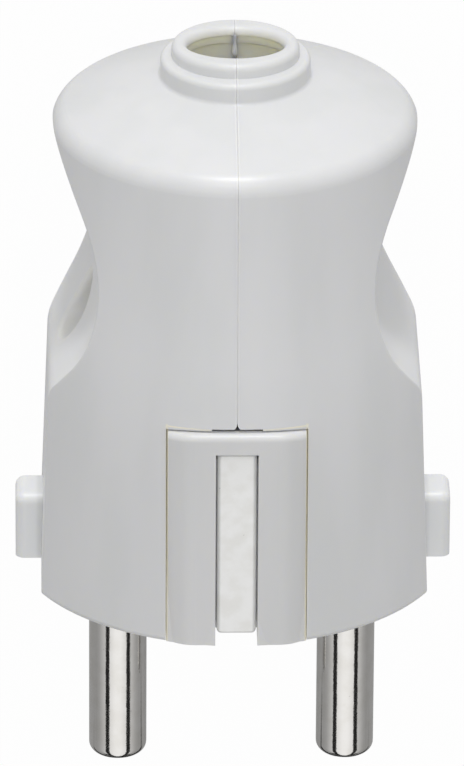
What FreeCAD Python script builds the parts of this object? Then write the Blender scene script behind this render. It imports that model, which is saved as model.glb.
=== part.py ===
import FreeCAD, Part
import math
import os

# A rewireable type F mains plug with a centred cord inlet, in millimetres.
#
# It is built standing on its face: x runs along the row of pins, y away from the front
# earth contact and z from the engagement face up to the cord collar. place_at_rest then
# lays it on its back, the way it comes to rest: x stays, +Y points at the collar and
# +Z out of the front earth contact. The origin is the middle of the engagement face.

V = FreeCAD.Vector

# Standard interface
PIN_SPACING = 19.0
PIN_D = 4.8
PIN_LENGTH = 19.0
PIN_TIP_ROUND = 0.8

# Shells and the terminals that they hold
WALL = 2.0
FIT = 0.1
SEAM_GAP = 0.01
SEAM_DEPTH = 0.15
BARREL_R = 3.5
BARREL_H = 10.0
BARREL_ROOM = 0.88

# Flats beside the pins, a wall and some room away from the pins' barrels
FLAT_X = PIN_SPACING / 2 + BARREL_R + BARREL_ROOM + WALL
FLAT_DRAFT = 1.95

# Round outside of the moulded body: radius at the base, past the flats, and how much less at each height
FLAT_CUT = 2.36
BASE_R = FLAT_X + FLAT_CUT
BASE_ROUND = 0.4
GRIP_Z = 19.0
GRIP_INSET = 1.22
GRIP_R = BASE_R - GRIP_INSET
NECK_Z = 30.0
NECK_INSET = 2.92
NECK_R = BASE_R - NECK_INSET
HEAD_Z = 39.93
HEAD_INSET = 3.36
HEAD_R = BASE_R - HEAD_INSET
HEAD_ROUND = 1.8
DOME_Z = 41.75
DOME_INSET = 7.74
DOME_R = BASE_R - DOME_INSET
WALL_BLEND = 100.0
DOME_BLEND = 40.0

# Finger scoops above the flats
SIDE_EDGE_R = 0.35
SCOOP_Z = 28.41
SCOOP_DEPTH = 4.64
SCOOP_X = FLAT_X - SCOOP_DEPTH
SCOOP_FLOOR_R = 13.5
SCOOP_LOWER_ANGLE = 32.2
SCOOP_UPPER_ANGLE = 25.0
SCOOP_EDGE_R = 3.2

# Stepped cord collar and its oval hole
RING_R = 6.12
RING_Z = 44.7
RING_FOOT_Z = 43.0
RING_ROUND = 0.45
RIM_HALF_X = 5.2
RIM_HALF_Y = 4.8
RIM_Z = 45.85
RIM_ROUND = 0.55
CORD_HOLE_HALF_X = 3.95
CORD_HOLE_HALF_Y = 2.8
CORD_HOLE_LIP = 0.62
CORD_STEP = 0.12
CORD_STEP_1_Z = 45.1
CORD_STEP_2_Z = 44.4

# Guide ears on the flats
EAR_REACH = 2.11
EAR_X = FLAT_X + EAR_REACH
EAR_HALF_Y = 2.12
EAR_Z = 5.8
EAR_ROUND = 0.75

# Groove in the shells that holds the carrier's tongue
GROOVE_Z = 2.0
GROOVE_H = 1.5
GROOVE_DEPTH = 0.8

# Carrier: plate, contact blocks in the shell windows, pillar under the earth web
PLATE_T = 5.0
BLOCK_HALF_X = 5.62
BLOCK_INSET = 0.37
BLOCK_Y = BASE_R - BLOCK_INSET
BLOCK_DRAFT = 1.0
BLOCK_Z = 18.95
BLOCK_TOP_DRAFT = 13.0
BLOCK_DEPTH = 2.82
BLOCK_INNER_Y = GRIP_R - WALL - BLOCK_DEPTH
BLOCK_FLAT_HALF_X = 3.4
BLOCK_SIDE_R = 3.0
BLOCK_TOP_ROUND = 0.55
BLOCK_GAP = 0.12
BLOCK_ROOT_GAP = 0.03
BLOCK_ROOT_DEPTH = 0.18
WINDOW_SLOT_HALF_X = 2.06
WINDOW_SLOT_RISE = 0.16
LIP_HALF_X = 7.0
LIP_FOOT_Z = 0.8
LIP_TOP_Z = 20.4
SEAM_CORNER_R = 0.62
SLOT_HALF_X = 1.72
SLOT_TOP_Z = 17.1
SLOT_FOOT_Z = 1.6
SLOT_FOOT_DEPTH = 3.1
PILLAR_HALF_X = 5.0
PILLAR_HALF_Y = 4.8
SPINE_HALF_X = 1.3
PIN_BOSS_R = 4.15
PIN_BOSS_H = 1.5
PIN_FIT = 0.05
PIN_SHANK_R = 2.7

# Earth bracket: one bent strip
STRIP_T = 0.8
STRIP_HALF_X = 1.6
STRIP_RECESS = 0.45
STRIP_FOOT_Z = 0.8
STRIP_HEM_R = 0.25
STRIP_CORNER = 0.35
STRIP_BEND_R = 0.5
STRIP_EYE_R = 4.2

# Pins and their terminals
WIRE_HOLE_R = 1.9
WIRE_HOLE_DEPTH = 8.4
CLAMP_DROP = 4.4
CLAMP_Z = BARREL_H - CLAMP_DROP
GUARD_T = 0.35
GUARD_HALF_X = 1.05
GUARD_Y = 1.15
GUARD_TAB = 2.0

# Screws: thread radius, head radius, head height
TERMINAL_SCREW = (1.5, 2.6, 1.9)
EARTH_SCREW = (1.75, 3.0, 1.5)
HOUSING_SCREW = (1.75, 2.5, 1.9)
CORD_SCREW = (1.4, 2.4, 1.7)
THREAD_FIT = 0.05
SLOT_W = 0.8
SLOT_D = 0.9

EARTH_WASHER_HALF = 3.4
EARTH_WASHER_T = 0.8
EARTH_SCREW_REACH = 3.0
EARTH_NUT_HALF = 3.0
EARTH_NUT_T = 2.4

HOUSING_SCREW_Z = 22.2
HOUSING_BOSS_R = 3.8
HOUSING_BOSS_START_X = 3.4
HEAD_POCKET_DEPTH = 2.55
HOUSING_SEAT_X = SCOOP_X - HEAD_POCKET_DEPTH
HEAD_POCKET_R = 2.75
HEAD_POCKET_ROUND = 0.5
INSERT_R = 2.6
INSERT_L = 6.0
INSERT_START_X = HOUSING_BOSS_START_X + 0.4

# Cord clamp
CLAMP_BAR_Z = 34.0
CLAMP_BAR_HALF_Z = 2.8
CLAMP_LUG_T = 2.4
CLAMP_SEAT_X = 1.0
CORD_R = 4.0
CLAMP_ARCH_T = 1.4
CLAMP_SCREW_ROOM = 0.2
CLAMP_SCREW_Y = CORD_R + CLAMP_ARCH_T + CORD_SCREW[1] + CLAMP_SCREW_ROOM
CLAMP_LUG_END = 2.6
CLAMP_HALF_Y = CLAMP_SCREW_Y + CLAMP_LUG_END
CLAMP_POST_R = 2.8
CORD_SCREW_REACH = 6.0

BIG = 60.0


def box(x0, x1, y0, y1, z0, z1):
    return Part.makeBox(x1 - x0, y1 - y0, z1 - z0, V(x0, y0, z0))


def cylinder(radius, start, end):
    start = V(*start)
    end = V(*end)
    return Part.makeCylinder(radius, (end - start).Length, start, end - start)


def rounded_edges(corners, plane):
    """Edges of a closed outline. Each corner is (u, v) or (u, v, radius)."""
    points = [V(c[0], c[1], 0) for c in corners]
    radii = [c[2] if len(c) > 2 else 0.0 for c in corners]
    count = len(points)
    starts = []
    ends = []
    middles = []
    for i in range(count):
        here = points[i]
        back = (points[i - 1] - here).normalize()
        ahead = (points[(i + 1) % count] - here).normalize()
        half = back.getAngle(ahead) / 2
        if radii[i] > 0:
            reach = radii[i] / math.tan(half)
            centre = here + (back + ahead).normalize() * (radii[i] / math.sin(half))
            starts.append(here + back * reach)
            ends.append(here + ahead * reach)
            middles.append(centre + (here - centre).normalize() * radii[i])
        else:
            starts.append(here)
            ends.append(here)
            middles.append(None)
    edges = []
    for i in range(count):
        if middles[i] is not None:
            arc = [plane(p.x, p.y) for p in (starts[i], middles[i], ends[i])]
            edges.append(Part.Arc(*arc).toShape())
        follow = starts[(i + 1) % count]
        if (follow - ends[i]).Length > 1e-6:
            edges.append(Part.makeLine(plane(ends[i].x, ends[i].y), plane(follow.x, follow.y)))
    return edges


def outline_face(corners, plane):
    return Part.Face(Part.Wire(rounded_edges(corners, plane)))


def in_xz(u, v):
    return V(u, 0, v)


def in_yz(u, v):
    return V(0, u, v)


def in_xy(u, v):
    return V(u, v, 0)


def turned(corners):
    """Solid of revolution about z from an outline of (radius, height) corners."""
    return outline_face(corners, in_xz).revolve(V(0, 0, 0), V(0, 0, 1), 360)


def turned_along(corners, start, direction):
    """The same, with its axis from start along direction."""
    solid = turned(corners)
    turn = FreeCAD.Rotation(V(0, 0, 1), V(*direction))
    solid.Placement = FreeCAD.Placement(V(*start), turn)
    return solid


def flat_x(z):
    return FLAT_X - z * math.tan(math.radians(FLAT_DRAFT))


def block_y(z):
    return BLOCK_Y - z * math.tan(math.radians(BLOCK_DRAFT))


def scoop_corner():
    """Where the scoop's two straight flanks would meet, inside its floor arc."""
    lower = math.radians(SCOOP_LOWER_ANGLE)
    upper = math.radians(SCOOP_UPPER_ANGLE)
    centre_x = SCOOP_X + SCOOP_FLOOR_R
    half = (lower + upper) / 2
    tilt = (upper - lower) / 2
    reach = SCOOP_FLOOR_R / math.cos(half)
    return centre_x - reach * math.cos(tilt), SCOOP_Z + reach * math.sin(tilt)


def side_prism(inset):
    """Everything between the two side outlines, moved in by inset: flats and finger scoops."""
    lower = math.tan(math.radians(SCOOP_LOWER_ANGLE))
    upper = math.tan(math.radians(SCOOP_UPPER_ANGLE))
    draft = math.tan(math.radians(FLAT_DRAFT))
    corner_x, corner_z = scoop_corner()
    corner_x = corner_x - inset / math.cos(math.radians((SCOOP_LOWER_ANGLE + SCOOP_UPPER_ANGLE) / 2))
    edge_z = (FLAT_X - inset - corner_x - corner_z * lower) / (draft - lower)
    edge_x = FLAT_X - inset - edge_z * draft
    top_x = corner_x + (BIG - corner_z) * upper
    foot_x = FLAT_X - inset + BIG * draft
    right = [
        (foot_x, -BIG),
        (edge_x, edge_z, max(SCOOP_EDGE_R - inset, 0.3)),
        (corner_x, corner_z, SCOOP_FLOOR_R + inset),
        (top_x, BIG),
    ]
    left = [(-corner[0],) + corner[1:] for corner in reversed(right)]
    face = outline_face(right + left, in_xz)
    face.translate(V(0, -BIG, 0))
    return face.extrude(V(0, 2 * BIG, 0))


def body_outline():
    """Outside of the round body and its collar, as (radius, height) corners."""
    return [
        (0, 0),
        (BASE_R, 0, BASE_ROUND),
        (GRIP_R, GRIP_Z, WALL_BLEND),
        (NECK_R, NECK_Z, WALL_BLEND),
        (HEAD_R, HEAD_Z, HEAD_ROUND),
        (DOME_R, DOME_Z, DOME_BLEND),
        (RING_R, RING_FOOT_Z, 0.3),
        (RING_R, RING_Z, RING_ROUND),
        (0, RING_Z),
    ]


def inner_outline(inset):
    """Inside of the round body, inset from its outside, open below the face."""
    slope = math.atan2(DOME_Z - HEAD_Z, HEAD_R - DOME_R)
    top_slope = math.atan2(RING_FOOT_Z - DOME_Z, DOME_R - RING_R)
    head_z = HEAD_Z + inset * (math.tan(slope) - 1 / math.cos(slope))
    draft = (BASE_R - GRIP_R) / GRIP_Z
    return [
        (0, -1),
        (BASE_R + draft - inset, -1),
        (GRIP_R - inset, GRIP_Z, WALL_BLEND),
        (NECK_R - inset, NECK_Z, WALL_BLEND),
        (HEAD_R - inset, head_z, max(HEAD_ROUND - inset, 0.8)),
        (DOME_R, DOME_Z - inset / math.cos(slope), DOME_BLEND),
        (RING_R, RING_FOOT_Z - inset / math.cos(top_slope)),
        (0, RING_FOOT_Z - inset / math.cos(top_slope)),
    ]


def inner_body(inset):
    return turned(inner_outline(inset)).common(side_prism(inset))


def slab(solid, z0, z1):
    return solid.common(box(-BIG, BIG, -BIG, BIG, z0, z1))


def oval(half_x, half_y, z0, z1):
    """Upright elliptic prism."""
    face = Part.Face(Part.Wire(Part.Ellipse(V(0, 0, z0), half_x, half_y).toShape()))
    return face.extrude(V(0, 0, z1 - z0))


def edges_at_z(solid, z):
    return [e for e in solid.Edges if e.BoundBox.ZLength < 1e-4 and abs(e.BoundBox.ZMin - z) < 1e-4]


def cord_hole(more, z0, z1):
    return oval(CORD_HOLE_HALF_X + more, CORD_HOLE_HALF_Y + more, z0, z1)


def collar_rim():
    """Oval rim on the ring, rounded outside and into the cord hole."""
    rim = oval(RIM_HALF_X, RIM_HALF_Y, RING_Z - WALL, RIM_Z)
    rim = rim.makeFillet(RIM_ROUND, edges_at_z(rim, RIM_Z))
    rim = rim.cut(cord_hole(0, 0, BIG))
    reach = CORD_HOLE_HALF_X + 0.01
    lip = [e for e in edges_at_z(rim, RIM_Z) if e.BoundBox.XMax < reach and e.BoundBox.XMin > -reach]
    return rim.makeFillet(CORD_HOLE_LIP, lip)


def rounded_sides(body):
    """Soften the edges where the flats and scoops cut the round body."""
    edges = []
    for edge in body.Edges:
        bounds = edge.BoundBox
        along = bounds.ZLength > 3 and bounds.ZMax < HEAD_Z
        if along and min(abs(bounds.YMin), abs(bounds.YMax)) > 1.0 and bounds.XLength < HEAD_R:
            edges.append(edge)
    return body.makeFillet(SIDE_EDGE_R, edges)


def guide_ear():
    """Right ear, rounded at all its free edges, with its root inside the flat."""
    root = flat_x(EAR_Z) - WALL / 2
    ear = box(root, EAR_X, -EAR_HALF_Y, EAR_HALF_Y, 0, EAR_Z)
    free = [
        e for e in ear.Edges
        if e.BoundBox.XMax > root + 1e-3 and e.BoundBox.ZMax > 1e-3
    ]
    return ear.makeFillet(EAR_ROUND, free)


def outer_body():
    """Solid outside of both shells together, with the guide ears on the flats."""
    body = turned(body_outline()).common(side_prism(0))
    body = rounded_sides(body)
    ear = guide_ear()
    return body.multiFuse([ear, ear.mirror(V(0, 0, 0), V(1, 0, 0))])


def block_top(y):
    """Height of the block's top face, which slopes up a little towards its outside."""
    return BLOCK_Z + (y - block_y(BLOCK_Z)) * math.tan(math.radians(BLOCK_TOP_DRAFT))


def block_prism(half, inner, foot, gap):
    """Room under the sloping top, from inner out past the body, half wide on each side."""
    face = outline_face([
        (inner, foot), (inner, block_top(inner) + gap), (BIG, block_top(BIG) + gap), (BIG, foot),
    ], in_yz)
    face.translate(V(-half, 0, 0))
    return face.extrude(V(2 * half, 0, 0))


def seam_corner(z):
    """Tool above the window's top edge at z that rounds both shells' corners beside the seam."""
    r = SEAM_CORNER_R
    side = r + 2 * SEAM_GAP
    tool = box(-r, r, BLOCK_INNER_Y - WALL, BLOCK_Y, z - BLOCK_GAP, z + r)
    for x in (-side, side):
        tool = tool.cut(cylinder(r, (x, 0, z + r), (x, BIG, z + r)))
    return tool


def window(side):
    """Opening in both shells for a contact block; side is -1 in front, 1 behind."""
    inner = BLOCK_INNER_Y - WALL
    opening = block_prism(BLOCK_HALF_X + BLOCK_GAP, inner, -1, BLOCK_GAP)
    slot = block_prism(WINDOW_SLOT_HALF_X, inner, BLOCK_Z / 2, BLOCK_GAP + WINDOW_SLOT_RISE)
    opening = opening.multiFuse([slot, seam_corner(block_top(GRIP_R) + BLOCK_GAP)])
    if side < 0:
        opening = opening.mirror(V(0, 0, 0), V(0, 1, 0))
    return opening


def shell_pair():
    """Both shells as one hollow body, before the cut along the seam."""
    pair = outer_body().cut(inner_body(WALL))
    groove = slab(inner_body(WALL - GROOVE_DEPTH), GROOVE_Z, GROOVE_Z + GROOVE_H)
    pair = pair.cut(groove)
    for side in (-1, 1):
        pair = pair.cut(window(side))
    pair = pair.cut(cord_hole(CORD_STEP, CORD_STEP_2_Z, BIG)).fuse(collar_rim())
    pair = pair.cut(cord_hole(CORD_STEP, CORD_STEP_2_Z, CORD_STEP_1_Z))
    return pair.cut(cord_hole(2 * CORD_STEP, RING_FOOT_Z - 2 * WALL, CORD_STEP_2_Z))


def seam_relief():
    """Thin outer band at the seam where the shells stand clear, seen as the parting line."""
    band = box(-SEAM_GAP / 2, SEAM_GAP / 2, -BIG, BIG, -1, BIG)
    return band.cut(inner_body(SEAM_DEPTH))


def on_screw_axis(radius, x0, x1):
    return cylinder(radius, (x0, 0, HOUSING_SCREW_Z), (x1, 0, HOUSING_SCREW_Z))


def housing_boss(side):
    """Boss round the housing screw, from beside the earth screw to the scoop's wall."""
    return on_screw_axis(HOUSING_BOSS_R, side * HOUSING_BOSS_START_X, side * FLAT_X).common(inner_body(WALL / 2))


def round_pocket(shell):
    """Soften the rim of the head's pocket on the scoop."""
    low = HOUSING_SCREW_Z - HEAD_POCKET_R - 0.01
    high = HOUSING_SCREW_Z + HEAD_POCKET_R + 0.01
    rim = []
    for edge in shell.Edges:
        bounds = edge.BoundBox
        near = bounds.ZMin > low and bounds.ZMax < high and bounds.XMax < -HOUSING_SEAT_X - 0.1
        if near and max(abs(bounds.YMin), abs(bounds.YMax)) < HEAD_POCKET_R + 0.01 and bounds.XLength > 0.01:
            rim.append(edge)
    return shell.makeFillet(HEAD_POCKET_ROUND, rim)


def clamp_posts():
    """Two posts and a cradle in the right shell for the cord clamp."""
    posts = []
    for y in (-CLAMP_SCREW_Y, CLAMP_SCREW_Y):
        posts.append(cylinder(CLAMP_POST_R, (CLAMP_SEAT_X, y, CLAMP_BAR_Z), (FLAT_X, y, CLAMP_BAR_Z)))
    cradle = box(
        CLAMP_SEAT_X, FLAT_X, -CLAMP_SCREW_Y, CLAMP_SCREW_Y,
        CLAMP_BAR_Z - CLAMP_BAR_HALF_Z / 2, CLAMP_BAR_Z + CLAMP_BAR_HALF_Z / 2,
    )
    cradle = cradle.cut(cylinder(CORD_R, (0, 0, NECK_Z), (0, 0, HEAD_Z)))
    posts.append(cradle)
    carrier = posts[0].multiFuse(posts[1:])
    return carrier.common(inner_body(WALL / 2))


def left_shell(pair):
    shell = pair.common(box(-BIG, 0, -BIG, BIG, -1, BIG)).fuse(housing_boss(-1))
    shell = round_pocket(shell.cut(on_screw_axis(HEAD_POCKET_R, -HOUSING_SEAT_X, -BIG)))
    shell = shell.cut(on_screw_axis(HOUSING_SCREW[0] + 2 * THREAD_FIT, 1, -BIG))
    return shell.cut(seam_relief())


def right_shell(pair):
    shell = pair.common(box(0, BIG, -BIG, BIG, -1, BIG))
    shell = shell.fuse(housing_boss(1)).fuse(clamp_posts())
    end = INSERT_START_X + INSERT_L + THREAD_FIT
    shell = shell.cut(on_screw_axis(INSERT_R + THREAD_FIT, -1, end))
    pilot = CORD_SCREW[0] + THREAD_FIT
    for y in (-CLAMP_SCREW_Y, CLAMP_SCREW_Y):
        shell = shell.cut(cylinder(pilot, (0, y, CLAMP_BAR_Z), (cord_screw_tip() + 0.4, y, CLAMP_BAR_Z)))
    return shell.cut(seam_relief())


def contact_block():
    """Rear contact block: flat in the middle of its face, rounded off to its sides."""
    drop = BLOCK_SIDE_R - math.sqrt(BLOCK_SIDE_R ** 2 - (BLOCK_HALF_X - BLOCK_FLAT_HALF_X) ** 2)
    angle = math.asin((BLOCK_HALF_X - BLOCK_FLAT_HALF_X) / BLOCK_SIDE_R)
    shoulder = BLOCK_Y - drop
    flat = BLOCK_FLAT_HALF_X
    mid_x = flat + BLOCK_SIDE_R * math.sin(angle / 2)
    mid_y = BLOCK_Y - BLOCK_SIDE_R * (1 - math.cos(angle / 2))
    half = BLOCK_HALF_X
    back = BLOCK_INNER_Y - WALL
    wire = Part.Wire([
        Part.makeLine(V(-half, back, 0), V(-half, shoulder, 0)),
        Part.Arc(V(-half, shoulder, 0), V(-mid_x, mid_y, 0), V(-flat, BLOCK_Y, 0)).toShape(),
        Part.makeLine(V(-flat, BLOCK_Y, 0), V(flat, BLOCK_Y, 0)),
        Part.Arc(V(flat, BLOCK_Y, 0), V(mid_x, mid_y, 0), V(half, shoulder, 0)).toShape(),
        Part.makeLine(V(half, shoulder, 0), V(half, back, 0)),
        Part.makeLine(V(half, back, 0), V(-half, back, 0)),
    ])
    tall = BLOCK_Z + WALL
    block = Part.Face(wire).extrude(V(0, block_y(tall) - BLOCK_Y, tall))
    block = block.common(block_prism(BIG, 0, 0, 0))
    top = [
        e for e in block.Edges
        if e.BoundBox.ZMin > block_top(BLOCK_INNER_Y) and e.BoundBox.YMin > BLOCK_INNER_Y
    ]
    block = block.makeFillet(BLOCK_TOP_ROUND, top)
    return block.fuse(block_root()).common(box(-BIG, BIG, BLOCK_INNER_Y, BIG, 0, BIG))


def block_root():
    """The block's foot in the window, just under the shells' surface, that nearly fills it."""
    fill = BLOCK_GAP - BLOCK_ROOT_GAP
    root = block_prism(BLOCK_HALF_X + fill, BLOCK_INNER_Y - WALL, 0, fill)
    return root.common(inner_body(BLOCK_ROOT_DEPTH))


def strip_front_y(z):
    return block_y(z) - STRIP_RECESS


def strip_leg():
    """Rear half of the earth strip: from the middle out over the pillar, then down its slot."""
    top = SLOT_TOP_Z - FIT
    inner = top - STRIP_T
    face = outline_face([
        (0, top),
        (strip_front_y(top), top, STRIP_BEND_R),
        (strip_front_y(STRIP_FOOT_Z), STRIP_FOOT_Z, STRIP_HEM_R),
        (strip_front_y(STRIP_FOOT_Z) - STRIP_T, STRIP_FOOT_Z),
        (strip_front_y(inner) - STRIP_T, inner),
        (0, inner),
    ], in_yz)
    face.translate(V(-STRIP_HALF_X, 0, 0))
    leg = face.extrude(V(2 * STRIP_HALF_X, 0, 0))
    foot = [
        e for e in leg.Edges
        if e.BoundBox.ZMax < STRIP_FOOT_Z + 1e-3 and e.BoundBox.YLength > STRIP_T / 2
    ]
    return leg.makeFillet(STRIP_CORNER, foot)


def slot_cut():
    """Space in the rear block for the strip, deeper below its foot, and its way in to the pillar."""
    floor = STRIP_RECESS + STRIP_T
    top = SLOT_TOP_Z
    web = top - STRIP_T - FIT
    foot_y = block_y(0) - SLOT_FOOT_DEPTH
    face = outline_face([
        (foot_y, -1),
        (foot_y, 0),
        (block_y(SLOT_FOOT_Z) - floor, SLOT_FOOT_Z),
        (block_y(web) - floor, web),
        (0, web),
        (0, top),
        (BIG, top),
        (BIG, -1),
    ], in_yz)
    face.translate(V(-SLOT_HALF_X, 0, 0))
    return face.extrude(V(2 * SLOT_HALF_X, 0, 0))


def block_lip():
    """Flange behind the rear window's edges, which locks the block behind the shells."""
    room = box(-LIP_HALF_X, LIP_HALF_X, BLOCK_INNER_Y, BIG, LIP_FOOT_Z, LIP_TOP_Z)
    return inner_body(WALL + FIT).common(room)


def web_under_z():
    return SLOT_TOP_Z - FIT - STRIP_T


def pin_carrier():
    """Plate, both contact blocks, pillar and spine, with the pins' holes."""
    plate = slab(inner_body(WALL + FIT), 0, PLATE_T)
    tongue = slab(inner_body(WALL - GROOVE_DEPTH + FIT), GROOVE_Z + FIT, GROOVE_Z + GROOVE_H - FIT)
    block = contact_block().fuse(block_lip())
    front = block.mirror(V(0, 0, 0), V(0, 1, 0))
    seat = web_under_z()
    pillar = box(-PILLAR_HALF_X, PILLAR_HALF_X, -PILLAR_HALF_Y, PILLAR_HALF_Y, PLATE_T - 1, seat)
    spine_y = BLOCK_INNER_Y + WALL / 2
    spine = box(-SPINE_HALF_X, SPINE_HALF_X, -spine_y, spine_y, PLATE_T - 1, seat - FIT)
    parts = [tongue, block, front, pillar, spine]
    for x in (-PIN_SPACING / 2, PIN_SPACING / 2):
        parts.append(cylinder(PIN_BOSS_R, (x, 0, PLATE_T - 1), (x, 0, PLATE_T + PIN_BOSS_H)))
    carrier = plate.multiFuse(parts)
    for x in (-PIN_SPACING / 2, PIN_SPACING / 2):
        carrier = carrier.cut(cylinder(PIN_SHANK_R + PIN_FIT, (x, 0, -1), (x, 0, BIG)))
        room = cylinder(BARREL_R + FIT, (x, 0, PLATE_T + PIN_BOSS_H), (x, 0, BIG))
        carrier = carrier.cut(room)
    rear = slot_cut()
    carrier = carrier.cut(rear).cut(rear.mirror(V(0, 0, 0), V(0, 1, 0)))
    pocket = EARTH_NUT_HALF + FIT
    carrier = carrier.cut(box(-pocket, pocket, -pocket, pocket, seat - EARTH_NUT_T - FIT, BIG))
    shaft = EARTH_SCREW[0] + FIT
    carrier = carrier.cut(cylinder(shaft, (0, 0, earth_screw_tip() - 0.5), (0, 0, BIG)))
    return carrier.removeSplitter()


def earth_bracket():
    """One bent strip: side contacts, hooks below and an eye over the pillar."""
    rear = strip_leg()
    top = SLOT_TOP_Z - FIT
    eye = cylinder(STRIP_EYE_R, (0, 0, top - STRIP_T), (0, 0, top))
    bracket = rear.multiFuse([rear.mirror(V(0, 0, 0), V(0, 1, 0)), eye])
    bracket = bracket.cut(cylinder(EARTH_SCREW[0] + FIT, (0, 0, 0), (0, 0, BIG)))
    return bracket.removeSplitter()


def screw(sizes, length, washer_slot=True):
    """Slotted screw along z: its head sits on z = 0 and its thread reaches down to -length."""
    thread, head, height = sizes
    solid = turned([
        (0, -length),
        (thread, -length, 0.3),
        (thread, 0),
        (head, 0),
        (head, height, 0.4),
        (0, height),
    ])
    slot = box(-SLOT_W / 2, SLOT_W / 2, -BIG, BIG, height - SLOT_D, height + 1)
    return solid.cut(slot)


def place(solid, origin, direction):
    solid.Placement = FreeCAD.Placement(V(*origin), FreeCAD.Rotation(V(0, 0, 1), V(*direction)))
    return solid


def pin(side):
    """Solid pin with a shoulder on the carrier and a drilled terminal barrel."""
    x = side * PIN_SPACING / 2
    foot = PLATE_T + PIN_BOSS_H
    top = foot + BARREL_H
    body = turned([
        (0, -PIN_LENGTH),
        (PIN_D / 2, -PIN_LENGTH, PIN_TIP_ROUND),
        (PIN_D / 2, 0),
        (PIN_SHANK_R, 0),
        (PIN_SHANK_R, foot),
        (BARREL_R, foot, 0.2),
        (BARREL_R, top, 0.3),
        (0, top),
    ])
    body = body.cut(cylinder(WIRE_HOLE_R, (0, 0, top - WIRE_HOLE_DEPTH), (0, 0, BIG)))
    thread = TERMINAL_SCREW[0] + THREAD_FIT
    clamp = cylinder(thread, (0, 0, foot + CLAMP_Z), (0, -BIG, foot + CLAMP_Z))
    body = body.cut(clamp)
    body.translate(V(x, 0, 0))
    return body


def terminal_screw(side):
    seat = BARREL_R + FIT
    tip = GUARD_Y + GUARD_T
    solid = screw(TERMINAL_SCREW, seat - tip)
    height = PLATE_T + PIN_BOSS_H + CLAMP_Z
    return place(solid, (side * PIN_SPACING / 2, -seat, height), (0, -1, 0))


def wire_guard(side):
    """Bent leaf between the terminal screw and the wire."""
    top = PLATE_T + PIN_BOSS_H + BARREL_H
    low = top - WIRE_HOLE_DEPTH + 0.3
    face = outline_face([
        (-GUARD_Y, low),
        (-GUARD_Y - GUARD_T, low),
        (-GUARD_Y - GUARD_T, top),
        (-GUARD_Y - GUARD_TAB, top),
        (-GUARD_Y - GUARD_TAB, top + GUARD_T),
        (-GUARD_Y, top + GUARD_T, GUARD_T * 0.9),
    ], in_yz)
    face.translate(V(-GUARD_HALF_X, 0, 0))
    leaf = face.extrude(V(2 * GUARD_HALF_X, 0, 0))
    leaf.translate(V(side * PIN_SPACING / 2, 0, 0))
    return leaf


def earth_screw_seat():
    return SLOT_TOP_Z - FIT + EARTH_WASHER_T


def earth_screw_tip():
    return web_under_z() - EARTH_NUT_T - EARTH_SCREW_REACH


def earth_screw():
    solid = screw(EARTH_SCREW, earth_screw_seat() - earth_screw_tip())
    return place(solid, (0, 0, earth_screw_seat()), (0, 0, 1))


def earth_washer():
    """Square clamp washer with turned-down sides that hold the strands."""
    half = EARTH_WASHER_HALF
    base = SLOT_TOP_Z - FIT
    plate = box(-half, half, -half, half, base, base + EARTH_WASHER_T)
    corner = [e for e in plate.Edges if e.BoundBox.ZLength > EARTH_WASHER_T / 2]
    plate = plate.makeFillet(0.8, corner)
    relief = cylinder(half * 2, (-BIG, 0, base - half * 2 + 0.25), (BIG, 0, base - half * 2 + 0.25))
    plate = plate.cut(relief)
    return plate.cut(cylinder(EARTH_SCREW[0] + FIT, (0, 0, 0), (0, 0, BIG)))


def earth_nut():
    half = EARTH_NUT_HALF
    top = web_under_z()
    nut = box(-half, half, -half, half, top - EARTH_NUT_T, top)
    rim = [e for e in nut.Edges if e.BoundBox.ZLength > EARTH_NUT_T / 2]
    nut = nut.makeChamfer(0.4, rim)
    return nut.cut(cylinder(EARTH_SCREW[0] + THREAD_FIT, (0, 0, 0), (0, 0, BIG)))


def housing_screw():
    length = HOUSING_SEAT_X + INSERT_START_X + INSERT_L - 1.0
    solid = screw(HOUSING_SCREW, length)
    return place(solid, (-HOUSING_SEAT_X, 0, HOUSING_SCREW_Z), (-1, 0, 0))


def threaded_insert():
    """Brass bush in the right shell's boss, with two grooves that key it."""
    groove = 0.35
    third = INSERT_L / 3
    bush = turned_along([
        (HOUSING_SCREW[0] + THREAD_FIT, 0),
        (INSERT_R, 0),
        (INSERT_R, third - groove),
        (INSERT_R - groove, third),
        (INSERT_R, third + groove),
        (INSERT_R, 2 * third - groove),
        (INSERT_R - groove, 2 * third),
        (INSERT_R, 2 * third + groove),
        (INSERT_R, INSERT_L),
        (HOUSING_SCREW[0] + THREAD_FIT, INSERT_L),
    ], (INSERT_START_X, 0, HOUSING_SCREW_Z), (1, 0, 0))
    return bush


def cord_clamp():
    """Arched bar that presses the cord into the cradle."""
    seat = CLAMP_SEAT_X
    lug = seat - CLAMP_LUG_T
    crown = CORD_R + CLAMP_ARCH_T
    outline = [
        (seat, -CLAMP_HALF_Y, 0.5),
        (lug, -CLAMP_HALF_Y, 0.5),
        (lug, -crown, 0.15),
        (-crown, -crown, crown * 0.8),
        (-crown, crown, crown * 0.8),
        (lug, crown, 0.15),
        (lug, CLAMP_HALF_Y, 0.5),
        (seat, CLAMP_HALF_Y, 0.5),
    ]
    face = outline_face(outline, in_xy)
    face.translate(V(0, 0, CLAMP_BAR_Z - CLAMP_BAR_HALF_Z))
    bar = face.extrude(V(0, 0, 2 * CLAMP_BAR_HALF_Z))
    bar = bar.cut(cylinder(CORD_R, (0, 0, NECK_Z), (0, 0, HEAD_Z)))
    bar = bar.cut(box(0, BIG, -CORD_R, CORD_R, NECK_Z, HEAD_Z))
    for y in (-CLAMP_SCREW_Y, CLAMP_SCREW_Y):
        hole = CORD_SCREW[0] + FIT
        bar = bar.cut(cylinder(hole, (-BIG, y, CLAMP_BAR_Z), (BIG, y, CLAMP_BAR_Z)))
    return bar


def cord_screw_tip():
    return CLAMP_SEAT_X + CORD_SCREW_REACH


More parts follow.
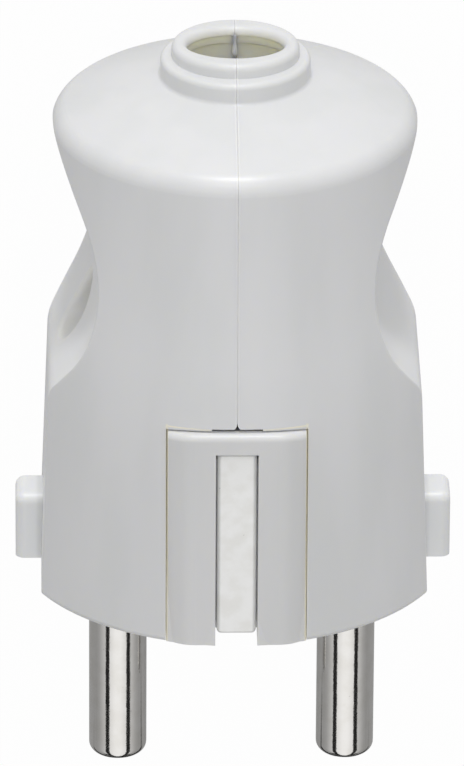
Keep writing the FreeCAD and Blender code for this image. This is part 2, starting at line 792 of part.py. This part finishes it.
def cord_screw(side):
    lug = CLAMP_SEAT_X - CLAMP_LUG_T
    solid = screw(CORD_SCREW, cord_screw_tip() - lug)
    return place(solid, (lug, side * CLAMP_SCREW_Y, CLAMP_BAR_Z), (-1, 0, 0))


def place_at_rest(solid):
    """Lay the standing plug on its back: (x, y, z) becomes (x, z, -y)."""
    solid = solid.copy()
    lay = FreeCAD.Placement(V(0, 0, 0), FreeCAD.Rotation(V(1, 0, 0), -90))
    solid.Placement = lay.multiply(solid.Placement)
    return solid


def build():
    pair = shell_pair()
    nodes = {
        "left_shell": left_shell(pair),
        "right_shell": right_shell(pair),
        "pin_carrier": pin_carrier(),
        "earth_bracket": earth_bracket(),
        "earth_screw": earth_screw(),
        "earth_clamp_washer": earth_washer(),
        "earth_nut": earth_nut(),
        "housing_screw": housing_screw(),
        "threaded_insert": threaded_insert(),
        "cord_clamp": cord_clamp(),
        "front_clamp_screw": cord_screw(-1),
        "rear_clamp_screw": cord_screw(1),
    }
    for name, side in (("left", -1), ("right", 1)):
        nodes[name + "_pin"] = pin(side)
        nodes[name + "_terminal_screw"] = terminal_screw(side)
        nodes[name + "_wire_guard"] = wire_guard(side)
    return nodes


os.makedirs("parts", exist_ok=True)
for node_name, node in build().items():
    place_at_rest(node).exportStep("parts/" + node_name + ".step")
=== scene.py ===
import math

import bpy
from mathutils import Matrix, Vector


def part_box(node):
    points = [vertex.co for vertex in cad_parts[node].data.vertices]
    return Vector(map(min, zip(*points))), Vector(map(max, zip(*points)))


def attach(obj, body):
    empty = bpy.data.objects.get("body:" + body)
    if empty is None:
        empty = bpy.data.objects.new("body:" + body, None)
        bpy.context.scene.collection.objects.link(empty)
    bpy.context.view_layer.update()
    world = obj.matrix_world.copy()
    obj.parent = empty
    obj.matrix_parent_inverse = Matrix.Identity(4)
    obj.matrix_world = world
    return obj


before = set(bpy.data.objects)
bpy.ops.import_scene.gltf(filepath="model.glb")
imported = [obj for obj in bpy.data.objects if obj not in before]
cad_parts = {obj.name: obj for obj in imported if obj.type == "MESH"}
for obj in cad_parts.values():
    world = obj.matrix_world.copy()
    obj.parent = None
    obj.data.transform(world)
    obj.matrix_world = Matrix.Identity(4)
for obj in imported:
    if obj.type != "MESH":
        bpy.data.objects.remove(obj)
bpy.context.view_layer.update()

# Lengths are in metres, and the camera's angles in degrees. The plug lies on its rear contact
# block: +Y points at the cord inlet, and +Z up, to the camera's side.
FLOOR_Z = min(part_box(name)[0][2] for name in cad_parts)
FLOOR_HALF = 1.2

# Camera, fitted to the photograph
ELEVATION = 25.775
AZIMUTH = -1.213
ROLL = -0.367
DISTANCE = 0.850
AIM_Y = 0.020
FOCAL_PX = 10338.7
CENTRE_PX = (233.65, 328.7)
SIZE_PX = (464, 766)
SENSOR_MM = 36.0
CLIP_START = 0.05
CLIP_END = 5.0

# Lamps: a far one beyond the cord inlet and a weak near one above it, both aimed at the body
LAMP_AIM = Vector((0.0, 0.022, 0.0))
KEY_TOWARDS = Vector((0.0, 0.985, 0.17))
KEY_DISTANCE = 1.5
KEY_SIZE = 0.2
KEY_WATTS = 7.8
FILL_PLACE = Vector((0.0, 0.112, 0.075))
FILL_SIZE = 0.036
FILL_WATTS = 0.0104

# Room: its light overhead and at the sides. Turns are radians from overhead, about the plug's axis.
OVERHEAD_LIGHT = 0.65
SIDE_LIGHT = 0.45
SIDE_LIGHT_TURN = (0.70, 0.92)

# Tent that reflections see: levels of its panels, and the dark seams and lower end between them
CENTRE_PANEL_TURN = (0.1, 0.64)
CENTRE_PANEL_LEVEL = (1.25, 1.05)
OUTER_PANEL_TURN = (0.75, 1.55)
OUTER_PANEL_LEVEL = (0.76, 0.42)
OUTER_PANEL_START = (0.70, 0.76)
PANEL_SEAM_START = (0.57, 0.61)
PANEL_SEAM_END = (0.86, 0.90)
TENT_END_TURN = (0.55, 0.70)
TENT_END_Y = (-0.97, -0.82)
TENT_END_FADE = (-0.04, 0.0)
DARK_SHARE = 0.97
RAGGED_SCALE = 14.0
RAGGED_TURN = 0.06

# Floor: its tones, the shares of pure white that the camera and metal see, and the dark patch
# beyond the pins that only metal sees
FLOOR_TONE = (0.95, 0.95, 0.95, 1)
FLOOR_IN_METAL = (0.5, 0.5, 0.5, 1)
PATCH_IN_METAL = (0.04, 0.04, 0.04, 1)
PATCH_Y = (-0.050, -0.038)
PATCH_HALF_X = (0.04, 0.07)
CAMERA_WHITE = 0.97
METAL_WHITE = 0.1

# Moulded plastic: scales of its marks, the depth of its skin, and how light passes into it
FLOW_STRETCH = (1.0, 0.25, 1.0)
FLOW_SCALE = 160.0
FLOW_SPAN = (0.35, 0.65)
FLOW_SHADE = (0.96, 0.965, 0.96)
SKIN_SCALE = 5200.0
SKIN_SHARE = 0.35
WAVE_SCALE = 420.0
SKIN_DEPTH = 0.000006
GLOSS_SPAN = (0.2, 0.8)
GLOSS_RANGE = (-0.03, 0.04)
PLASTIC_IOR = 1.49
PLASTIC_RADII = (1.0, 0.95, 0.7)
PLASTIC_WEIGHT = (0.5, 1.0)
PLASTIC_REACH = (0.0005, 0.0012)
EDGE_R = 0.0001
SEAM_EDGE_R = 0.00001

# Where the plastic's tone changes: each pair is the span over which a tone fades. These tones are
# painted light: sideways walls, ears, the cord hole, the screw's pocket, the seam and the gaps are
# painted lighter
FLANK_PAINTED_LIGHT = (0.94, 0.95, 0.96, 1)
FLANK_ACROSS = (0.5, 0.65)
FLANK_UPWARD = (0.12, 0.36)
FLANK_END_Y = (0.0375, 0.0390)
EAR_X = (0.0160, 0.0164)
EAR_PAINTED_LIGHT_SHARE = 0.55
BORE_PAINTED_LIGHT_TONE = (0.98, 0.96, 0.82, 1)
BORE_R = (0.0036, 0.0043)
BORE_RIM_Y = (0.0448, 0.0458)
POCKET_PAINTED_LIGHT_TONE = (0.96, 0.955, 0.92, 1)
POCKET_AXIS = (0.0, 0.0222, 0.0)
POCKET_R = (0.0029, 0.0036)
POCKET_X = (-0.0085, -0.0080)
SEAM_HALF = (0.00004, 0.0002)
SEAM_EDGE_HALF = (0.0001, 0.0003)
GAP_PAINTED_LIGHT_TONE = (0.97, 0.92, 0.76, 1)
GAP_X = 0.00568
GAP_HALF = (0.00006, 0.00014)
GAP_END_Y = (0.01902, 0.01922)
TOP_GAP_Y = 0.01898
TOP_GAP_HALF = (0.00004, 0.0001)
TOP_GAP_X = 0.0039
TOP_GAP_REACH = (0.0016, 0.0019)

# Samples for rounded edges, and the scales that leave a point's offset from an axis
BEVEL_SAMPLES = 6
OFF_X_AXIS = (0.0, 1.0, 1.0)
OFF_Y_AXIS = (1.0, 0.0, 1.0)

# Metal: scales and depths of its marks
TURNED_STRETCH = (0.02, 1.0, 0.02)
DRAWN_STRETCH = (1.0, 0.04, 1.0)
MARK_SCALE = 9000.0
MARK_DEPTH = 0.0000012
RIPPLE_STRETCH = (1.0, 0.35, 1.0)
RIPPLE_SCALE = 1500.0
RIPPLE_DEPTH = 0.000006
PITTING_SCALE = 7000.0
TURNED_PITTING = 0.0000026
DRAWN_PITTING = 0.000001
BLOTCH_SCALE = 700.0
BLOTCH_SPAN = (0.35, 0.7)
BLOTCH_SHADE = (0.94, 0.935, 0.92)
SPECK_SCALE = 2600.0
SPECK_SPAN = (0.74, 0.8)
SPECK_TONE = (0.2, 0.2, 0.2, 1)
SPECK_SHARE = 0.5
SHINE_SPAN = (0.3, 0.7)
PLATE_SHINE_RANGE = 0.04
PLATE_EDGE_R = 0.00008
GRAIN_SCALE = 3500.0
GRAIN_DEPTH = 0.000004
GRAIN_SHINE_RANGE = 0.1

# Ridge of flash in the cord hole, on its rear wall
FLASH_R = 0.0002
FLASH_Z = -0.0029
FLASH_FOOT_Y = 0.0432
FLASH_TOP_Y = 0.0452
FLASH_SIDES = 12
FLASH_RINGS = 9
FLASH_WAVE = 0.25
FLASH_WAVE_ANGLE = 7
FLASH_TAPER = 0.5
FLASH_TAPER_POWER = 6


def standing(vector):
    """From the standing plug's axes, with z up to the cord inlet, to the frame's."""
    return Vector((vector[0], vector[2], -vector[1]))


def make_camera():
    """Camera at the fitted place, turned so that the photograph's middle is its own."""
    e, a, r = (math.radians(v) for v in (ELEVATION, AZIMUTH, ROLL))
    right = Vector((math.cos(a), math.sin(a), 0))
    away = Vector((-math.sin(a), math.cos(a), 0))
    up_axis = Vector((0, 0, 1))
    forward = away * math.cos(e) - up_axis * math.sin(e)
    up = away * math.sin(e) + up_axis * math.cos(e)
    place = up_axis * AIM_Y - forward * DISTANCE
    image_right = right * math.cos(r) - up * math.sin(r)
    image_up = right * math.sin(r) + up * math.cos(r)
    across = (SIZE_PX[0] / 2 - CENTRE_PX[0]) / FOCAL_PX
    along = -(SIZE_PX[1] / 2 - CENTRE_PX[1]) / FOCAL_PX
    aim = (forward + image_right * across + image_up * along).normalized()
    image_right = (image_right - aim * image_right.dot(aim)).normalized()
    image_up = image_right.cross(aim)
    columns = [standing(image_right), standing(image_up), standing(-aim)]
    turn = Matrix(columns).transposed().to_4x4()
    data = bpy.data.cameras.new("camera")
    data.sensor_width = SENSOR_MM
    data.lens = FOCAL_PX * SENSOR_MM / SIZE_PX[1]
    data.clip_start = CLIP_START
    data.clip_end = CLIP_END
    camera = bpy.data.objects.new("camera", data)
    camera.matrix_world = Matrix.Translation(standing(place)) @ turn
    bpy.context.collection.objects.link(camera)
    bpy.context.scene.camera = camera


class Graph:
    """Short hand for building a node tree."""

    def __init__(self, tree):
        self.tree = tree
        self.tree.nodes.clear()

    def node(self, kind, **settings):
        made = self.tree.nodes.new(kind)
        for name, value in settings.items():
            setattr(made, name, value)
        return made

    def put(self, socket, value):
        """Link an output to the socket, or set a constant on it."""
        if isinstance(value, bpy.types.NodeSocket):
            self.tree.links.new(value, socket)
        else:
            socket.default_value = value

    def end(self, kind, shader):
        """Output node for the finished shader."""
        self.put(self.node(kind).inputs["Surface"], shader.outputs[0])

    def maths(self, operation, *values, clamp=False):
        made = self.node("ShaderNodeMath", operation=operation, use_clamp=clamp)
        for i, value in enumerate(values):
            self.put(made.inputs[i], value)
        return made.outputs[0]

    def plus(self, one, other):
        return self.maths("ADD", one, other)

    def minus(self, one, other):
        return self.maths("SUBTRACT", one, other)

    def times(self, one, other):
        return self.maths("MULTIPLY", one, other)

    def most(self, one, other):
        return self.maths("MAXIMUM", one, other)

    def size(self, value):
        return self.maths("ABSOLUTE", value)

    def vector(self, operation, *values):
        made = self.node("ShaderNodeVectorMath", operation=operation)
        for i, value in enumerate(values):
            self.put(made.inputs[i], value)
        return made.outputs["Value" if operation == "LENGTH" else "Vector"]

    def parts(self, vector):
        made = self.node("ShaderNodeSeparateXYZ")
        self.put(made.inputs[0], vector)
        return made.outputs

    def ramp(self, value, span, levels):
        """Smooth change from the first level to the second while the value crosses the span."""
        made = self.node("ShaderNodeMapRange", interpolation_type="SMOOTHSTEP")
        for name, setting in (("Value", value), ("From Min", span[0]), ("From Max", span[1]),
                              ("To Min", levels[0]), ("To Max", levels[1])):
            self.put(made.inputs[name], setting)
        return made.outputs["Result"]

    def rise(self, value, span):
        return self.ramp(value, span, (0.0, 1.0))

    def fall(self, value, span):
        return self.ramp(value, span, (1.0, 0.0))

    def near(self, value, centre, span):
        """One where a value is close to the centre, falling to nothing over the span."""
        return self.fall(self.size(self.minus(value, centre)), span)

    def mix(self, factor, low, high):
        """Blend of two colours. The node's sockets for colours are inputs 6 and 7 and output 2."""
        made = self.node("ShaderNodeMix", data_type="RGBA")
        self.put(made.inputs[0], factor)
        self.put(made.inputs[6], low)
        self.put(made.inputs[7], high)
        return made.outputs[2]

    def place(self):
        return self.node("ShaderNodeTexCoord").outputs["Object"]

    def scaled(self, vector, scale):
        made = self.node("ShaderNodeMapping")
        self.put(made.inputs["Vector"], vector)
        made.inputs["Scale"].default_value = scale
        return made.outputs[0]

    def noise(self, vector, scale, detail=2.0, roughness=0.5):
        made = self.node("ShaderNodeTexNoise")
        self.put(made.inputs["Vector"], vector)
        made.inputs["Scale"].default_value = scale
        made.inputs["Detail"].default_value = detail
        made.inputs["Roughness"].default_value = roughness
        return made.outputs["Fac"]

    def bump(self, height, distance, normal):
        made = self.node("ShaderNodeBump")
        made.inputs["Distance"].default_value = distance
        self.put(made.inputs["Height"], height)
        self.put(made.inputs["Normal"], normal)
        return made.outputs[0]

    def bevel(self, radius):
        made = self.node("ShaderNodeBevel", samples=BEVEL_SAMPLES)
        self.put(made.inputs["Radius"], radius)
        return made.outputs[0]

    def surface(self, settings):
        """Principled surface from a table of input names and values."""
        shader = self.node("ShaderNodeBsdfPrincipled")
        for name, value in settings.items():
            self.put(shader.inputs[name], value)
        self.end("ShaderNodeOutputMaterial", shader)


def new_material(name):
    material = bpy.data.materials.new(name)
    material.use_nodes = True
    return material, Graph(material.node_tree)


def dimmed(colour, factors):
    return tuple(part * factor for part, factor in zip(colour, factors)) + (1,)


def painted_light_flank_mask(g, y):
    """Walls that face sideways, below the head, which are painted lighter in place of the light
    falling on them.
    """
    across, _, upward = g.parts(g.node("ShaderNodeNewGeometry").outputs["Normal"])
    sideways = g.rise(g.size(across), FLANK_ACROSS)
    sideways = g.times(sideways, g.fall(g.size(upward), FLANK_UPWARD))
    return g.times(sideways, g.fall(y, FLANK_END_Y))


def bore_mask(g, place, y):
    """Wall of the cord hole, up to its rim, painted lighter and warmer in place of light passing
    through the plastic.
    """
    from_axis = g.vector("LENGTH", g.scaled(place, OFF_Y_AXIS))
    return g.times(g.fall(from_axis, BORE_R), g.fall(y, BORE_RIM_Y))


def pocket_mask(g, place, x):
    """Pocket round the housing screw's head, in the left scoop, painted lighter over its shade."""
    offset = g.scaled(g.vector("SUBTRACT", place, POCKET_AXIS), OFF_X_AXIS)
    from_axis = g.vector("LENGTH", offset)
    return g.times(g.fall(from_axis, POCKET_R), g.fall(x, POCKET_X))


def gap_mask(g, from_seam, y):
    """Narrow gaps at both sides of the contact block and above its corners, painted lighter and
    warmer over their shade.
    """
    beside = g.times(g.near(from_seam, GAP_X, GAP_HALF), g.fall(y, GAP_END_Y))
    corners = g.near(from_seam, TOP_GAP_X, TOP_GAP_REACH)
    above = g.times(g.near(y, TOP_GAP_Y, TOP_GAP_HALF), corners)
    return g.most(beside, above)


def moulded_plastic(name, colour, roughness, seamed):
    """Satin moulding with very fine skin and faint flow marks. Its tone is painted lighter and
    warmer
    where light passes through it: in the cord hole, the screw's pocket, the gaps and the shells'
    seam.
    Walls facing sideways and the ears are painted lighter too, in place of light falling on them."""
    material, g = new_material(name)
    place = g.place()
    x, y, _ = g.parts(place)
    from_seam = g.size(x)
    flow = g.noise(g.scaled(place, FLOW_STRETCH), FLOW_SCALE, detail=3.0)
    tone = g.mix(g.rise(flow, FLOW_SPAN), colour, dimmed(colour, FLOW_SHADE))
    # Painted light: walls facing sideways and the ears get a lighter tone in place of the light
    # falling on them
    ear_painted_light = g.ramp(from_seam, EAR_X, (0.0, EAR_PAINTED_LIGHT_SHARE))
    tone = g.mix(g.most(painted_light_flank_mask(g, y), ear_painted_light), tone, FLANK_PAINTED_LIGHT)
    bore = bore_mask(g, place, y)
    # Painted light: the cord hole's wall gets a lighter, warmer tone for light passing through the
    # plastic
    tone = g.mix(bore, tone, BORE_PAINTED_LIGHT_TONE)
    # Painted light: the screw's pocket and the shells' seam get a lighter tone over their shade
    painted_light_share = pocket_mask(g, place, x)
    edge = EDGE_R
    if seamed:
        painted_light_share = g.most(painted_light_share, g.fall(from_seam, SEAM_HALF))
        edge = g.ramp(from_seam, SEAM_EDGE_HALF, (SEAM_EDGE_R, EDGE_R))
    tone = g.mix(painted_light_share, tone, POCKET_PAINTED_LIGHT_TONE)
    # Painted light: the gaps beside the contact block get a lighter, warmer tone over their shade
    gap = gap_mask(g, from_seam, y)
    tone = g.mix(gap, tone, GAP_PAINTED_LIGHT_TONE)
    skin = g.noise(place, SKIN_SCALE, roughness=0.6)
    height = g.plus(g.times(skin, SKIN_SHARE), g.noise(place, WAVE_SCALE, detail=1.0))
    gloss = (roughness + GLOSS_RANGE[0], roughness + GLOSS_RANGE[1])
    g.surface({
        "Base Color": tone,
        "Roughness": g.ramp(flow, GLOSS_SPAN, gloss),
        "IOR": PLASTIC_IOR,
        "Subsurface Weight": g.ramp(bore, (0.0, 1.0), PLASTIC_WEIGHT),
        "Subsurface Radius": PLASTIC_RADII,
        "Subsurface Scale": g.ramp(g.most(bore, gap), (0.0, 1.0), PLASTIC_REACH),
        "Normal": g.bump(height, SKIN_DEPTH, g.bevel(edge)),
    })
    return material


def nickel_plate(name, colour, roughness, turned, metallic):
    """Bright plating with fine marks: rings round a turned pin, or lines along a drawn strip."""
    material, g = new_material(name)
    place = g.place()
    marks = g.noise(g.scaled(place, TURNED_STRETCH if turned else DRAWN_STRETCH), MARK_SCALE)
    ripple = g.noise(g.scaled(place, RIPPLE_STRETCH), RIPPLE_SCALE, detail=3.0)
    pitting = g.noise(place, PITTING_SCALE)
    blotch = g.noise(place, BLOTCH_SCALE, detail=3.0)
    tone = g.mix(g.rise(blotch, BLOTCH_SPAN), colour, dimmed(colour, BLOTCH_SHADE))
    speck = g.rise(g.noise(place, SPECK_SCALE), SPECK_SPAN)
    tone = g.mix(g.times(speck, SPECK_SHARE), tone, SPECK_TONE)
    fine = g.bump(marks, MARK_DEPTH, g.bevel(PLATE_EDGE_R))
    fine = g.bump(pitting, TURNED_PITTING if turned else DRAWN_PITTING, fine)
    g.surface({
        "Base Color": tone,
        "Metallic": metallic,
        "Roughness": g.ramp(blotch, SHINE_SPAN, (roughness, roughness + PLATE_SHINE_RANGE)),
        "Normal": g.bump(ripple, RIPPLE_DEPTH, fine),
    })
    return material


def plain_metal(name, colour, roughness):
    """Metal with fine grain, for the pieces inside."""
    material, g = new_material(name)
    grain = g.noise(g.place(), GRAIN_SCALE, detail=3.0)
    g.surface({
        "Base Color": colour,
        "Metallic": 1.0,
        "Roughness": g.ramp(grain, SHINE_SPAN, (roughness, roughness + GRAIN_SHINE_RANGE)),
        "Normal": g.bump(grain, GRAIN_DEPTH, g.bevel(EDGE_R)),
    })
    return material


def seam_flash(material):
    """Thin ridge of flash down the cord hole's rear wall, over the joint of the shells."""
    points = []
    for i in range(FLASH_RINGS):
        share = i / (FLASH_RINGS - 1)
        y = FLASH_FOOT_Y + (FLASH_TOP_Y - FLASH_FOOT_Y) * share
        wave = FLASH_WAVE * math.sin(FLASH_WAVE_ANGLE * share)
        radius = FLASH_R * (1 + wave - FLASH_TAPER * share ** FLASH_TAPER_POWER)
        for k in range(FLASH_SIDES):
            turn = 2 * math.pi * k / FLASH_SIDES
            points.append((radius * math.cos(turn), y, FLASH_Z + radius * math.sin(turn)))
    last = (FLASH_RINGS - 1) * FLASH_SIDES
    faces = []
    for ring in range(0, last, FLASH_SIDES):
        for k in range(FLASH_SIDES):
            a = ring + k
            b = ring + (k + 1) % FLASH_SIDES
            faces.append((a, a + FLASH_SIDES, b + FLASH_SIDES, b))
    faces.append(tuple(range(FLASH_SIDES)))
    faces.append(tuple(reversed(range(last, last + FLASH_SIDES))))
    mesh = bpy.data.meshes.new("seam_flash")
    mesh.from_pydata(points, [], faces)
    for face in mesh.polygons:
        face.use_smooth = len(face.vertices) == 4
    mesh.materials.append(material)
    piece = bpy.data.objects.new("seam_flash", mesh)
    bpy.context.collection.objects.link(piece)
    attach(piece, "root")


def dress():
    """A material for every node of the frame, and the ridge of flash."""
    housing = moulded_plastic("housing", (0.797, 0.80, 0.808, 1), roughness=0.36, seamed=True)
    carrier = moulded_plastic("carrier", (0.78, 0.78, 0.785, 1), roughness=0.38, seamed=False)
    pins = nickel_plate("pin_nickel", (0.665, 0.653, 0.635, 1), roughness=0.06, turned=True,
                        metallic=1.0)
    strip = nickel_plate("strip_nickel", (0.87, 0.87, 0.86, 1), roughness=0.3, turned=False,
                         metallic=0.3)
    screws = plain_metal("zinc", (0.58, 0.59, 0.60, 1), roughness=0.3)
    brass = plain_metal("turned_brass", (0.72, 0.53, 0.24, 1), roughness=0.28)
    finishes = {
        "left_shell": housing, "right_shell": housing,
        "cord_clamp": carrier, "pin_carrier": carrier,
        "left_pin": pins, "right_pin": pins,
        "earth_bracket": strip, "left_wire_guard": strip, "right_wire_guard": strip,
        "threaded_insert": brass, "earth_nut": brass,
    }
    for name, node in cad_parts.items():
        node.data.materials.clear()
        node.data.materials.append(finishes.get(name, screws))
    seam_flash(housing)


def floor_material():
    """White to the camera but for a soft shadow, and darker in the metal's reflections."""
    material, g = new_material("floor")
    material.cycles.emission_sampling = "NONE"
    path = g.node("ShaderNodeLightPath").outputs
    mirrored = g.maths("ADD", path["Is Glossy Ray"], path["Is Transmission Ray"], clamp=True)
    x, y, _ = g.parts(g.place())
    patch = g.times(g.fall(y, PATCH_Y), g.near(x, 0.0, PATCH_HALF_X))
    in_metal = g.mix(patch, FLOOR_IN_METAL, PATCH_IN_METAL)
    diffuse = g.node("ShaderNodeBsdfDiffuse")
    g.put(diffuse.inputs["Color"], g.mix(mirrored, FLOOR_TONE, in_metal))
    white = g.node("ShaderNodeEmission")
    white.inputs["Color"].default_value = (1, 1, 1, 1)
    white.inputs["Strength"].default_value = 1.0
    metal_share = g.times(g.times(mirrored, g.minus(1.0, patch)), METAL_WHITE)
    blend = g.node("ShaderNodeMixShader")
    g.put(blend.inputs[0], g.plus(g.times(path["Is Camera Ray"], CAMERA_WHITE), metal_share))
    g.put(blend.inputs[1], diffuse.outputs[0])
    g.put(blend.inputs[2], white.outputs[0])
    g.end("ShaderNodeOutputMaterial", blend)
    return material


def make_floor():
    """Plain white floor under the plug."""
    mesh = bpy.data.meshes.new("floor")
    corners = [(x * FLOOR_HALF, y * FLOOR_HALF, 0) for x, y in ((-1, -1), (1, -1), (1, 1), (-1, 1))]
    mesh.from_pydata(corners, [], [(0, 1, 2, 3)])
    mesh.materials.append(floor_material())
    floor = bpy.data.objects.new("floor", mesh)
    floor.location = (0, 0, FLOOR_Z)
    bpy.context.collection.objects.link(floor)


def tent_panels(g, turn, y):
    """Level of the tent by the turn from overhead and the direction's share along Y."""
    centre = g.ramp(turn, CENTRE_PANEL_TURN, CENTRE_PANEL_LEVEL)
    outer = g.ramp(turn, OUTER_PANEL_TURN, OUTER_PANEL_LEVEL)
    side = g.rise(turn, OUTER_PANEL_START)
    panels = g.plus(g.times(centre, g.minus(1.0, side)), g.times(outer, side))
    seam = g.times(g.rise(turn, PANEL_SEAM_START), g.fall(turn, PANEL_SEAM_END))
    past_end = g.fall(g.minus(y, g.ramp(turn, TENT_END_TURN, TENT_END_Y)), TENT_END_FADE)
    dark = g.times(g.most(seam, past_end), DARK_SHARE)
    return g.times(panels, g.minus(1.0, dark))


def make_tent():
    """Soft light all round: metal sees the tent, the camera white, and all else a plain room."""
    world = bpy.data.worlds.new("tent")
    bpy.context.scene.world = world
    world.use_nodes = True
    world.cycles.sampling_method = "NONE"
    g = Graph(world.node_tree)
    direction = g.node("ShaderNodeTexCoord").outputs["Generated"]
    x, y, z = g.parts(direction)
    ragged = g.minus(g.noise(direction, RAGGED_SCALE, detail=3.0), 0.5)
    turn = g.plus(g.size(g.maths("ARCTAN2", x, z)), g.times(ragged, RAGGED_TURN))
    room = g.ramp(turn, SIDE_LIGHT_TURN, (OVERHEAD_LIGHT, SIDE_LIGHT))
    path = g.node("ShaderNodeLightPath").outputs
    mirrored = path["Is Glossy Ray"]
    reflected = g.times(mirrored, tent_panels(g, turn, y))
    level = g.plus(reflected, g.times(g.minus(1.0, mirrored), room))
    back = g.node("ShaderNodeBackground")
    back.inputs["Color"].default_value = (1.0, 1.0, 1.0, 1)
    g.put(back.inputs["Strength"], g.most(level, path["Is Camera Ray"]))
    g.end("ShaderNodeOutputWorld", back)


def make_lamp(name, place, size, watts):
    """Soft round lamp that shines at the plug's middle."""
    data = bpy.data.lights.new(name, "AREA")
    data.shape = "DISK"
    data.size = size
    data.energy = watts
    lamp = bpy.data.objects.new(name, data)
    lamp.location = place
    lamp.rotation_euler = (place - LAMP_AIM).to_track_quat("Z", "Y").to_euler()
    bpy.context.collection.objects.link(lamp)


make_camera()
make_tent()
make_lamp("key", LAMP_AIM + KEY_TOWARDS * KEY_DISTANCE, KEY_SIZE, KEY_WATTS)
make_lamp("fill", FILL_PLACE, FILL_SIZE, FILL_WATTS)
make_floor()
dress()
bpy.context.scene.view_settings.view_transform = "Standard"
